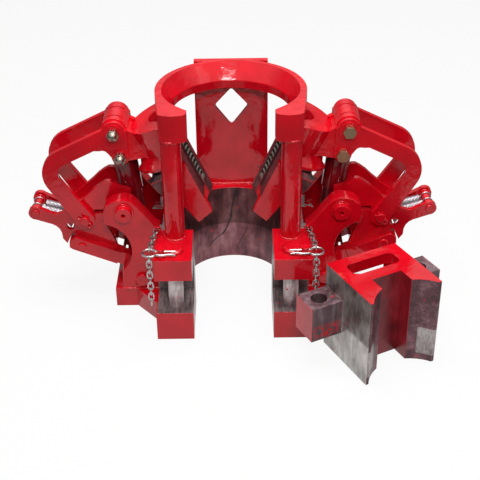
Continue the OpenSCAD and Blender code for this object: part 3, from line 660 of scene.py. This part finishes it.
zinc_plate = plated("yellow_zinc_plate", "#cbbb98", "#978a69")
nickel_plate = plated("dull_nickel_plate", "#d3ccbf", "#857d6d", 0.2)
for side, plate in (("left", nickel_plate), ("right", zinc_plate)):
    softened("head_bolts_" + side, 0.0009, "head_bolts_%s_plated" % side, plate)

PIVOT_AT, PIVOT_OUT, TRUNNION_AT, TRUNNION_OUT = (0.277, 0.173), 0.0500, (0.173, 0.062), 0.0798
PIVOT_LEAN, TRUNNION_LEAN, COTTER_HALF = 2.3, 0.7, 0.0082


def cotter(at, depth, lean, half, wire=0.0016, eye=0.0042):
    """A split pin through a shaft's end, in a plane square to Y: two wires side by side over
    twice half, joined by a round eye at one end and bent apart at the other. lean turns it."""
    legs = wire * 1.05
    sweep = np.radians(np.linspace(155, -155, 22)) + math.pi
    ring = np.stack([-half - eye * 0.9 + eye * np.cos(sweep), eye * np.sin(sweep)], axis=1)
    out = np.array([(half + 0.0042, 0.0052), (half + 0.0022, 0.0036), (half + 0.0006, legs * 1.3),
                    (half - 0.002, legs), (0.0, legs), (-half + 0.001, legs)])
    path = np.concatenate([out, ring if ring[0, 1] > 0 else ring[::-1], (out * (1, -1))[::-1]])
    turned = path @ np.array([(math.cos(lean), math.sin(lean)), (-math.sin(lean), math.cos(lean))])
    along = np.stack([at[0] + turned[:, 0], np.full(len(path), depth), at[1] + turned[:, 1]],
                     axis=1)
    return skin_rings(tube(along, wire, 8, (0, 1, 0)))


for side, way in zip(SIDES, (-1, 1)):
    for shaft, at, depth, lean in (("pivot_pin_", PIVOT_AT, PIVOT_OUT, PIVOT_LEAN),
                                   ("trunnion_pin_", TRUNNION_AT, TRUNNION_OUT, TRUNNION_LEAN)):
        split = [cotter((way * at[0], at[1]), near * depth, lean, COTTER_HALF)
                 for near in (-1, 1)]
        name = shaft + side + "_cotters"
        place(joined(name, split), name, frame["nodes"][shaft + side]["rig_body"], plate_enamel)


# ------------------------------------------------------------
# Slips and dies. Each slip is a steel wedge casting with a ground back; its near half and crown
# were sprayed, its far half is a darker brown, and the face round the die took only a thin dark
# coat.

SLIP_AT, SLIP_TILT = (0.038, 0.1935), math.radians(24.6)
FACE_LOW, FACE_HIGH, SKIRT_LOW, SKIRT_Z = 0.0335, 0.185, 0.100, 0.121
FAR_FROM, BACK_FROM, SLIP_NEAR = 0.030, 0.030, -0.0522
COLLAR_LOW, COLLAR_TOP, COLLAR_OUT, COLLAR_FROM = 0.0660, 0.0992, 0.018, 0.045
COVER_HALF, COVER_CLEAR = 0.0290, 0.0760
HOLLOW_R, HOLLOW_HALF, HOLLOW_SHARE, FOOT_TOP, FOOT_FALL = 0.0445, 0.040, 0.62, 0.034, 0.316


def slip_frame(tree, place_at):
    """A point in the slip's own frame, on either side: X out from its face, Z up along it."""
    x, y, z = add(tree, "SeparateXYZ", {0: place_at}).outputs
    across = add(tree, "Math", {0: x}, operation="ABSOLUTE")
    right = add(tree, "CombineXYZ", {0: across.outputs[0], 1: y, 2: z})
    own = add(tree, "Mapping", {
        "Vector": right.outputs[0], "Location": (SLIP_AT[0], 0, SLIP_AT[1]),
        "Rotation": (0, SLIP_TILT, 0)}, vector_type="TEXTURE")
    return own.outputs[0]


def slip_bare(tree, place_at):
    """Darker brown on the far half, and on the collar as painted shade; bare on the ground back and
    under the skirt; dark on the face.
    """
    out, y, up = add(tree, "SeparateXYZ", {0: slip_frame(tree, place_at)}).outputs
    face = both(tree, window(tree, out, -1, 0.0010, 0.0004),
                window(tree, up, FACE_LOW, FACE_HIGH, 0.0006))
    far = both(tree, window(tree, y, FAR_FROM, 9, 0.004), window(tree, up, -1, SKIRT_Z, 0.002))
    under = both(tree, window(tree, up, SKIRT_LOW, SKIRT_Z - 0.001, 0.001),
                 window(tree, out, 0.012, 1, 0.004))
    back = both(tree, window(tree, out, BACK_FROM, 1, 0.004),
                window(tree, up, -1, SKIRT_LOW, 0.004), window(tree, y, SLIP_NEAR, 1, 0.0004))
    collar = both(tree, window(tree, out, COLLAR_FROM + 0.006, 1, 0.001),
                  window(tree, up, COLLAR_LOW - 0.002, COLLAR_TOP - 0.001, 0.0006))
    # A thin maroon coat on the face, dark brown on the far half and, as painted shade, on the
    # collar; drab ground steel on the back.
    coat = steel(tree, place_at, "#3c1619", "#5c2529", "#7d4043", low=0.8, high=1.2)
    far_brown_and_collar_shade = steel(tree, place_at, "#341a1d", "#573336", "#7c5759", fine=80.0)
    drab = steel(tree, place_at, "#473536", "#6d5a5a", "#938382", fine=120.0)
    lifted = both(tree, back, under, operation="MAXIMUM")
    # The collar takes the dark brown as painted shade under the skirt.
    return [(sprayed(tree, place_at, far, 0.63, 0.012), far_brown_and_collar_shade, 0.25),
            (sprayed(tree, place_at, lifted, 0.62, 0.010), drab, 0.35),
            (collar, far_brown_and_collar_shade, 0.25), (face, coat, 0.05)]


def slip_axes(way):
    """A slip's lower corner, and its ways up along the face and out from it, by its tilt."""
    return (np.array([way * SLIP_AT[0], 0, SLIP_AT[1]]),
            np.array([way * math.sin(SLIP_TILT), 0, math.cos(SLIP_TILT)]),
            np.array([way * math.cos(SLIP_TILT), 0, -math.sin(SLIP_TILT)]))


def slip_cuts(work):
    """Gives a slip edges round its collar, and along and across the hollow in its foot."""
    corner, up_way, _ = slip_axes(1 if next(iter(work.verts)).co.x > 0 else -1)
    marks = (FOOT_TOP - 0.002, FOOT_TOP, COLLAR_LOW, COLLAR_LOW + 0.003, COLLAR_TOP)
    cut_across(work, [(corner + up_way * up, up_way) for up in marks])
    cut_across(work, [((0, y, 0), (0, 1, 0)) for y in np.linspace(-HOLLOW_HALF, HOLLOW_HALF, 17)])


def collared(points):
    """Two readings of the photo, in the slip's own frame. The collar stands out COLLAR_OUT round
    the back under the skirt, but only to COVER_CLEAR by the rod cover. The hollow's depth at y is
    a share of sqrt(R^2 - y^2) less its value at HOLLOW_HALF; its low points also go down along
    the sloping foot."""
    corner, up_way, out_way = slip_axes(1 if points[0, 0] > 0 else -1)
    up, out, half = (points - corner) @ up_way, (points - corner) @ out_way, np.abs(points[:, 1])
    collar = (up > COLLAR_LOW + 0.001) & (up < COLLAR_TOP + 0.0004) & (out > COLLAR_FROM)
    reach = np.where(half > COVER_HALF, COLLAR_OUT, np.clip(COVER_CLEAR - out, 0, COLLAR_OUT))
    foot = (np.abs(out) < 0.0012) & (up < FOOT_TOP - 0.001) & (half < HOLLOW_HALF)
    deep = HOLLOW_SHARE * (np.sqrt(HOLLOW_R ** 2 - np.minimum(half, HOLLOW_HALF) ** 2)
                           - math.sqrt(HOLLOW_R ** 2 - HOLLOW_HALF ** 2))
    outward = np.where(collar, reach, 0) + np.where(foot, deep, 0)
    downward = np.where(foot & (up < 0.004), FOOT_FALL * deep, 0)
    return points + outward[:, None] * out_way - downward[:, None] * up_way


slip_enamel = enamel("enamel_over_slip_casting", slip_bare)
for side in SIDES:
    softened("slip_" + side, 0.0012, "slip_%s_cast" % side, slip_enamel,
             slip_cuts, collared)

DIE_HALF, DIE_FROM, DIE_LONG, DIE_SEAT, DIE_PROUD = 0.0195, 0.0402, 0.1376, 0.0075, 0.0046
TOOTH_PITCH, TOOTH_DEEP, DIE_SIDE = 0.0096, 0.0030, 0.0028
DIE_DISH = HOLLOW_R - math.sqrt(HOLLOW_R ** 2 - DIE_HALF ** 2)


def die_face(width, length):
    """Height of the die's face above the slip's. Across it is a hollow of the pipe's radius; along
    it each tooth rises over half of its pitch, stays level up to 0.72 of it and drops by 0.86."""
    hollow = HOLLOW_R - np.sqrt(HOLLOW_R ** 2 - width ** 2)
    along = (length / TOOTH_PITCH) % 1.0
    tooth = np.interp(along, (0.0, 0.50, 0.72, 0.86, 1.0), (0.0, 1.0, 1.0, 0.0, 0.0))
    flat_end = (length < TOOTH_PITCH * 0.4) | (length > DIE_LONG - TOOTH_PITCH * 0.4)
    flat_side = np.abs(width) > DIE_HALF - DIE_SIDE
    cut = np.where(flat_end | flat_side, 1.0, tooth)
    return DIE_PROUD - DIE_DISH + hollow - TOOTH_DEEP * (1 - cut)


def die_mesh(name, way):
    """One die in the world frame: the face as a grid, walls down from its rim, and a flat back."""
    marks = np.array([0, 0.02, 0.5, 0.72, 0.86, 0.98])
    length = np.unique(np.clip((np.arange(13)[:, None] + marks).ravel() * TOOTH_PITCH, 0, DIE_LONG))
    length = np.append(length[length < DIE_LONG - 1e-6], DIE_LONG)
    side_cut = DIE_HALF - DIE_SIDE
    width = np.unique(np.concatenate([np.linspace(-side_cut, side_cut, 13), (-DIE_HALF, DIE_HALF),
                                      (-side_cut - 0.0004, side_cut + 0.0004)]))
    across, along = np.meshgrid(width, length, indexing="xy")
    top = die_face(across, along)
    face = np.stack([-top, across, DIE_FROM + along], axis=-1)
    back = face.copy()
    back[..., 0] = DIE_SEAT
    rows, columns = top.shape
    spot = np.arange(rows * columns).reshape(rows, columns)
    quads = np.stack([spot[:-1, :-1], spot[:-1, 1:], spot[1:, 1:], spot[1:, :-1]], axis=-1)
    quads = quads.reshape(-1, 4)
    rim = np.concatenate([spot[0, :-1], spot[:-1, -1], spot[-1, :0:-1], spot[:0:-1, 0]])
    after = np.roll(rim, -1)
    under = rows * columns
    walls = np.stack([rim, after, after + under, rim + under], axis=-1)
    faces = quads.tolist() + walls.tolist() + (quads[:, ::-1] + under).tolist()
    corner, up_way, out_way = slip_axes(way)
    local = np.concatenate([face.reshape(-1, 3), back.reshape(-1, 3)])
    turned = (corner + local[:, :1] * out_way + local[:, 1:2] * (0, 1, 0) + local[:, 2:] * up_way)
    return joined(name, [(turned, faces)], 25)


def die_finish(name):
    """Blackened tool steel, greenish in the hollows, with the crests of its teeth painted bright as
    painted glints, standing in for their highlights; the rim of the die wears the thin dark coat of
    the slip's face. A point is on a crest where it is level with the hollow's own curve, which y
    squared over twice its radius follows."""
    made, tree = new_material(name)
    place_at = add(tree, "TexCoord").outputs["Object"]
    out, y, up = add(tree, "SeparateXYZ", {0: slip_frame(tree, place_at)}).outputs
    worn = add(tree, "TexNoise", {"Vector": place_at, "Scale": 190.0, "Detail": 4.0}).outputs[0]
    across = add(tree, "Math", {0: y}, operation="ABSOLUTE").outputs[0]
    square = add(tree, "Math", {0: y, 1: y}, operation="MULTIPLY").outputs[0]
    crest = add(tree, "Math", {
        0: square, 1: -0.5 / HOLLOW_R, 2: DIE_DISH - DIE_PROUD},
        operation="MULTIPLY_ADD").outputs[0]
    above = add(tree, "Math", {0: out, 1: crest}, operation="SUBTRACT").outputs[0]
    # Painted glint: the crests of the teeth take a light colour for their highlights.
    painted_glint = both(tree, window(tree, above, -1, 0.0009, 0.0005),
                 window(tree, across, -1, 0.0160, 0.0008))
    dark = add(tree, "Mix", {
        0: worn, 6: linear("#141a17"), 7: linear("#3d463d")}, data_type="RGBA")
    lit = add(tree, "Mix", {
        0: worn, 6: linear("#5d6a5f"), 7: linear("#cfd6ca")}, data_type="RGBA")
    toothed = add(tree, "Mix", {
        0: painted_glint, 6: dark.outputs[2], 7: lit.outputs[2]}, data_type="RGBA")
    rim = add(tree, "Math", {0: across, 1: DIE_HALF - 0.0026}, operation="GREATER_THAN").outputs[0]
    tone = add(tree, "Mix", {
        0: rim, 6: toothed.outputs[2], 7: linear("#4f2024")}, data_type="RGBA")
    shine = add(tree, "MapRange", {0: rim, 3: 0.75, 4: 0.05})
    metal = add(tree, "BsdfPrincipled", {
        "Base Color": tone.outputs[2], "Roughness": 0.33, "Metallic": shine.outputs[0]})
    add(tree, "OutputMaterial", {"Surface": metal.outputs[0]})
    return made


blackened = die_finish("blackened_tool_steel")
for side, way in zip(SIDES, (-1, 1)):
    name = "die_%s_toothed" % side
    place(die_mesh(name, way), name, frame["nodes"]["die_" + side]["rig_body"], blackened,
          ("die_" + side,))


# ------------------------------------------------------------
# Air cylinders. A painted barrel trunnioned between the cheeks, and a ground rod to the head
# with a painted tube over its upper end, which goes down over the barrel as the slips close.

bright_rod = plated("ground_rod_steel", "#a9a6a6", "#7b7677", 0.22)
# The drawn tubes' red is painted darker, as painted shade for the shadow they sit in under the
# arms.
shade_darkened_enamel = enamel("enamel_darkened_as_painted_shade", colour="#8f0717", deep="#5c0410")
for side in SIDES:
    softened("barrel_" + side, 0.0015, "barrel_%s_painted" % side, shade_darkened_enamel)
    softened("rod_" + side, 0.001, "rod_%s_ground" % side, bright_rod)
    softened("rod_cover_" + side, 0.0012, "rod_cover_%s_painted" % side, shade_darkened_enamel)


# ------------------------------------------------------------
# Springs. Close-wound tension springs of drawn wire, two on each side. The hooks at their ends
# hold on the spring bar and on the crank.

BAR_AT, HOOK_AT, SPRING_Y = (0.370, 0.183), (0.303, 0.163), 0.011
BAR_HOOK_R, CRANK_HOOK_R = 0.0093, 0.0083
COIL_R, COIL_WIRE, COIL_TURNS, COIL_FROM, COIL_LONG = 0.0071, 0.00135, 16, 0.013, 0.0435
drawn_wire = plated("drawn_spring_wire", "#c9c4c8", "#9b9599", 0.36)
for side, way in zip(SIDES, (-1, 1)):
    start = np.array([way * HOOK_AT[0], 0, HOOK_AT[1]])
    end = np.array([way * BAR_AT[0], 0, BAR_AT[1]])
    span = np.linalg.norm(end - start)
    axis = (end - start) / span
    across = np.array([0.0, 1.0, 0.0])
    third = np.cross(axis, across)
    turn = np.linspace(0, COIL_TURNS * 2 * math.pi, COIL_TURNS * 18 + 1)
    far_end = span - COIL_FROM - COIL_LONG + 0.001
    wires = []
    for row in (-SPRING_Y, SPRING_Y):
        # A helix about the axis, then a hook at each end with a straight lead to it.
        coil = (start + across * row + axis * (COIL_FROM + COIL_LONG * turn / turn[-1])[:, None]
                + COIL_R * (np.cos(turn)[:, None] * third + np.sin(turn)[:, None] * across))
        wires.append(skin_rings(tube(coil, COIL_WIRE, 7, axis)))
        for at, toward, far, hook_r in ((start, 1, COIL_FROM + 0.001, CRANK_HOOK_R),
                                        (end, -1, far_end, BAR_HOOK_R)):
            bend = np.radians(np.linspace(28, 300, 30))
            hook = (at + across * row + hook_r * (toward * np.cos(bend)[:, None] * axis
                                                 + np.sin(bend)[:, None] * third))
            lead = line(at + across * row + axis * toward * far + third * COIL_R * 0.5, hook[0])
            wires.append(skin_rings(tube(np.concatenate([lead[:-1], hook]), COIL_WIRE, 7, across)))
    coils = joined("springs_" + side + "_wound", wires)
    coils.materials.append(drawn_wire)
    made = bpy.data.objects.new("springs_%s_wound" % side, coils)
    link(made)
    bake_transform(made)
    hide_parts("springs_" + side)


# ------------------------------------------------------------
# Gate pins, their studs, clips and chains. Round pins drop through the lugs; a spring clip holds
# each, on a short welded chain.

def pin_bare(tree, place_at):
    """Bare below the head, turned on a lathe and smeared with paint."""
    height = add(tree, "SeparateXYZ", {0: place_at}).outputs[2]
    shaft = window(tree, height, -1, PAD_Z + 0.0005, 0.0005)
    turned = steel(tree, place_at, "#8a7274", "#bba5a6", "#e4dada", along=(1, 1, 0.35), fine=160.0)
    return [(sprayed(tree, place_at, shaft, 0.67, 0.013), turned, 0.45)]


pin_enamel = enamel("enamel_on_pin_head", pin_bare)
bright_wire = plated("bright_zinc_wire", "#d6d3d2", "#9a9695", 0.2)
for side in SIDES:
    softened("gate_pin_" + side, 0.0008, "gate_pin_%s_turned" % side, pin_enamel)
softened("keeper_stubs", 0.001, "keeper_studs", plate_enamel)
softened("chain_eyes", 0.0006, "chain_ears", plate_enamel)
for side in SIDES:
    for node in ("clip_", "chain_"):
        source = frame["nodes"][node + side]
        source.data.materials.clear()
        source.data.materials.append(bright_wire)


# ------------------------------------------------------------
# Gate. A cast segment that fills the throat, taken out and stood beside the spider. Its lugs,
# sides and wings were milled, and stay bare.

GATE_AT, GATE_TURN, GATE_TOP = (0.242, -0.196), math.radians(207), 0.1702
# Across the gate, u: its sides, lugs, wings and recess; towards the bore, v: wings and recess.
SIDE_U, LUG_U, WING_U, RECESS_U = (0.0712, 0.0732), (0.0735, 0.1335), (0.0308, 0.0712), 0.0304
WING_V, RECESS_V, WORN_U, WORN_Z = 0.0795, 0.0345, 0.046, (0.022, 0.078)
SPLASH_U, SPLASH_Z, SHADE_BAND_Z, CRUST_Z = (0.080, 0.128), (0.066, 0.088), 0.086, 0.074


def gate_bare(tree, place_at):
    """Bare on the sides, lugs and wing faces: everything but the top and the front. The sides are
    milled bright, darkened in a band at the top as painted shade; the lugs dull with a splash of
    paint, the wings scaled, rusty and worn, and the recess a darker maroon, as painted shade."""
    shifted = add(tree, "Mapping", {
        "Vector": place_at, "Location": (GATE_AT[0], GATE_AT[1], 0), "Rotation": (0, 0, GATE_TURN)},
        vector_type="TEXTURE")
    u, v, z = add(tree, "SeparateXYZ", {0: shifted.outputs[0]}).outputs
    across = add(tree, "Math", {0: u}, operation="ABSOLUTE").outputs[0]
    below = window(tree, z, -1, GATE_TOP, 0.0004)
    sides = both(tree, window(tree, across, *SIDE_U, 0.0003), below)
    lugs = both(tree, window(tree, across, *LUG_U, 0.0003), below)
    splashed = both(tree, lugs, window(tree, z, *SPLASH_Z, 0.004),
                    window(tree, across, *SPLASH_U, 0.004))
    dry = add(tree, "Math", {0: 1.0, 1: splashed}, operation="SUBTRACT").outputs[0]
    wings = both(tree, window(tree, v, WING_V, 1, 0.0008), below,
                 window(tree, across, *WING_U, 0.0004))
    drift = add(tree, "TexNoise", {"Vector": place_at, "Scale": 30.0, "Detail": 4.0}).outputs[0]
    level = add(tree, "Math", {0: drift, 1: 0.016, 2: z}, operation="MULTIPLY_ADD").outputs[0]
    # The band at the top of the sides is darker steel, painted shade.
    side_shade_band = both(tree, sides, window(tree, level, SHADE_BAND_Z, 1, 0.003))
    worn = both(tree, wings, window(tree, level, *WORN_Z, 0.001),
                window(tree, across, WORN_U, 0.1, 0.001))
    bent = add(tree, "TexNoise", {"Vector": place_at, "Scale": 70.0, "Detail": 3.0})
    moved = add(tree, "VectorMath", {
        0: bent.outputs["Color"], 1: (0.014, 0.014, 0.014), 2: place_at}, operation="MULTIPLY_ADD")
    # The recess gets a darker maroon below, as painted shade.
    recess = both(tree, below, window(tree, v, RECESS_V, 1, 0.0006),
                  window(tree, across, -1, RECESS_U, 0.0006))
    cells = add(tree, "TexVoronoi", {
        "Vector": moved.outputs[0], "Scale": 88.0}, feature="DISTANCE_TO_EDGE")
    crust = both(tree, wings, window(tree, cells.outputs[0], -1, 0.035, 0.035),
                 window(tree, level, CRUST_Z, 1, 0.004))
    # From bright milled sides to brown scale on the wings, with painted shade: a darker band atop
    # the sides and a darker maroon in the recess.
    recess_shade_red = steel(tree, place_at, "#650e17", "#861824", "#a02834", (1, 1, 0.3), 40.0, 0.8, 1.2)
    milled = steel(tree, place_at, "#8b8482", "#bdb8b5", "#dedbd8", (1, 1, 0.25), 90.0)
    side_top_shade = steel(tree, place_at, "#4a4240", "#877e7b", "#b1a9a6", (1, 1, 0.4), 60.0)
    dull = steel(tree, place_at, "#4a3236", "#6c5358", "#8d7b80", fine=120.0)
    scale = steel(tree, place_at, "#3f2027", "#6b424a", "#936b72", (1, 1, 1), 60.0)
    grey = steel(tree, place_at, "#7a6a6b", "#a29695", "#c4bcbb", (1, 1, 0.3))
    black = steel(tree, place_at, "#2c171b", "#432329", "#5a343a")
    return [(sprayed(tree, place_at, sides, 0.72, 0.016), milled, 0.6),
            (sprayed(tree, place_at, side_shade_band, 0.70, 0.016), side_top_shade, 0.5),
            (sprayed(tree, place_at, both(tree, lugs, dry), 0.66, 0.013), dull, 0.3),
            (sprayed(tree, place_at, splashed, 0.535, 0.008), dull, 0.3),
            (sprayed(tree, place_at, wings, 0.67, 0.012), scale, 0.15),
            (crust, black, 0.0), (worn, grey, 0.4), (recess, recess_shade_red, 0.0)]


gate_enamel = enamel("enamel_over_gate_casting", gate_bare)
WINDOW_HALF, WINDOW_V, CORNER = 0.048, (-0.010, 0.024), 0.011


def rounded(work):
    """Rounds the four upright corners of the gate's window, as its cast core left them. A corner
    at (u, v) in the gate's own frame is turned by GATE_TURN about GATE_AT."""
    back, ahead = math.cos(GATE_TURN), math.sin(GATE_TURN)
    corners = [(GATE_AT[0] + u * back - v * ahead, GATE_AT[1] + u * ahead + v * back)
               for u in (-WINDOW_HALF, WINDOW_HALF) for v in WINDOW_V]
    upright = [edge for edge in work.edges
               if abs(edge.verts[0].co.z - edge.verts[1].co.z) > 0.004
               and any(all(math.dist(spot.co[:2], corner) < 0.0008 for spot in edge.verts)
                       for corner in corners)]
    bmesh.ops.bevel(work, geom=upright, offset=CORNER, offset_type="OFFSET", segments=6,
                    profile=0.5, affect="EDGES")


softened("gate", 0.0018, "gate_cast", gate_enamel, rounded)
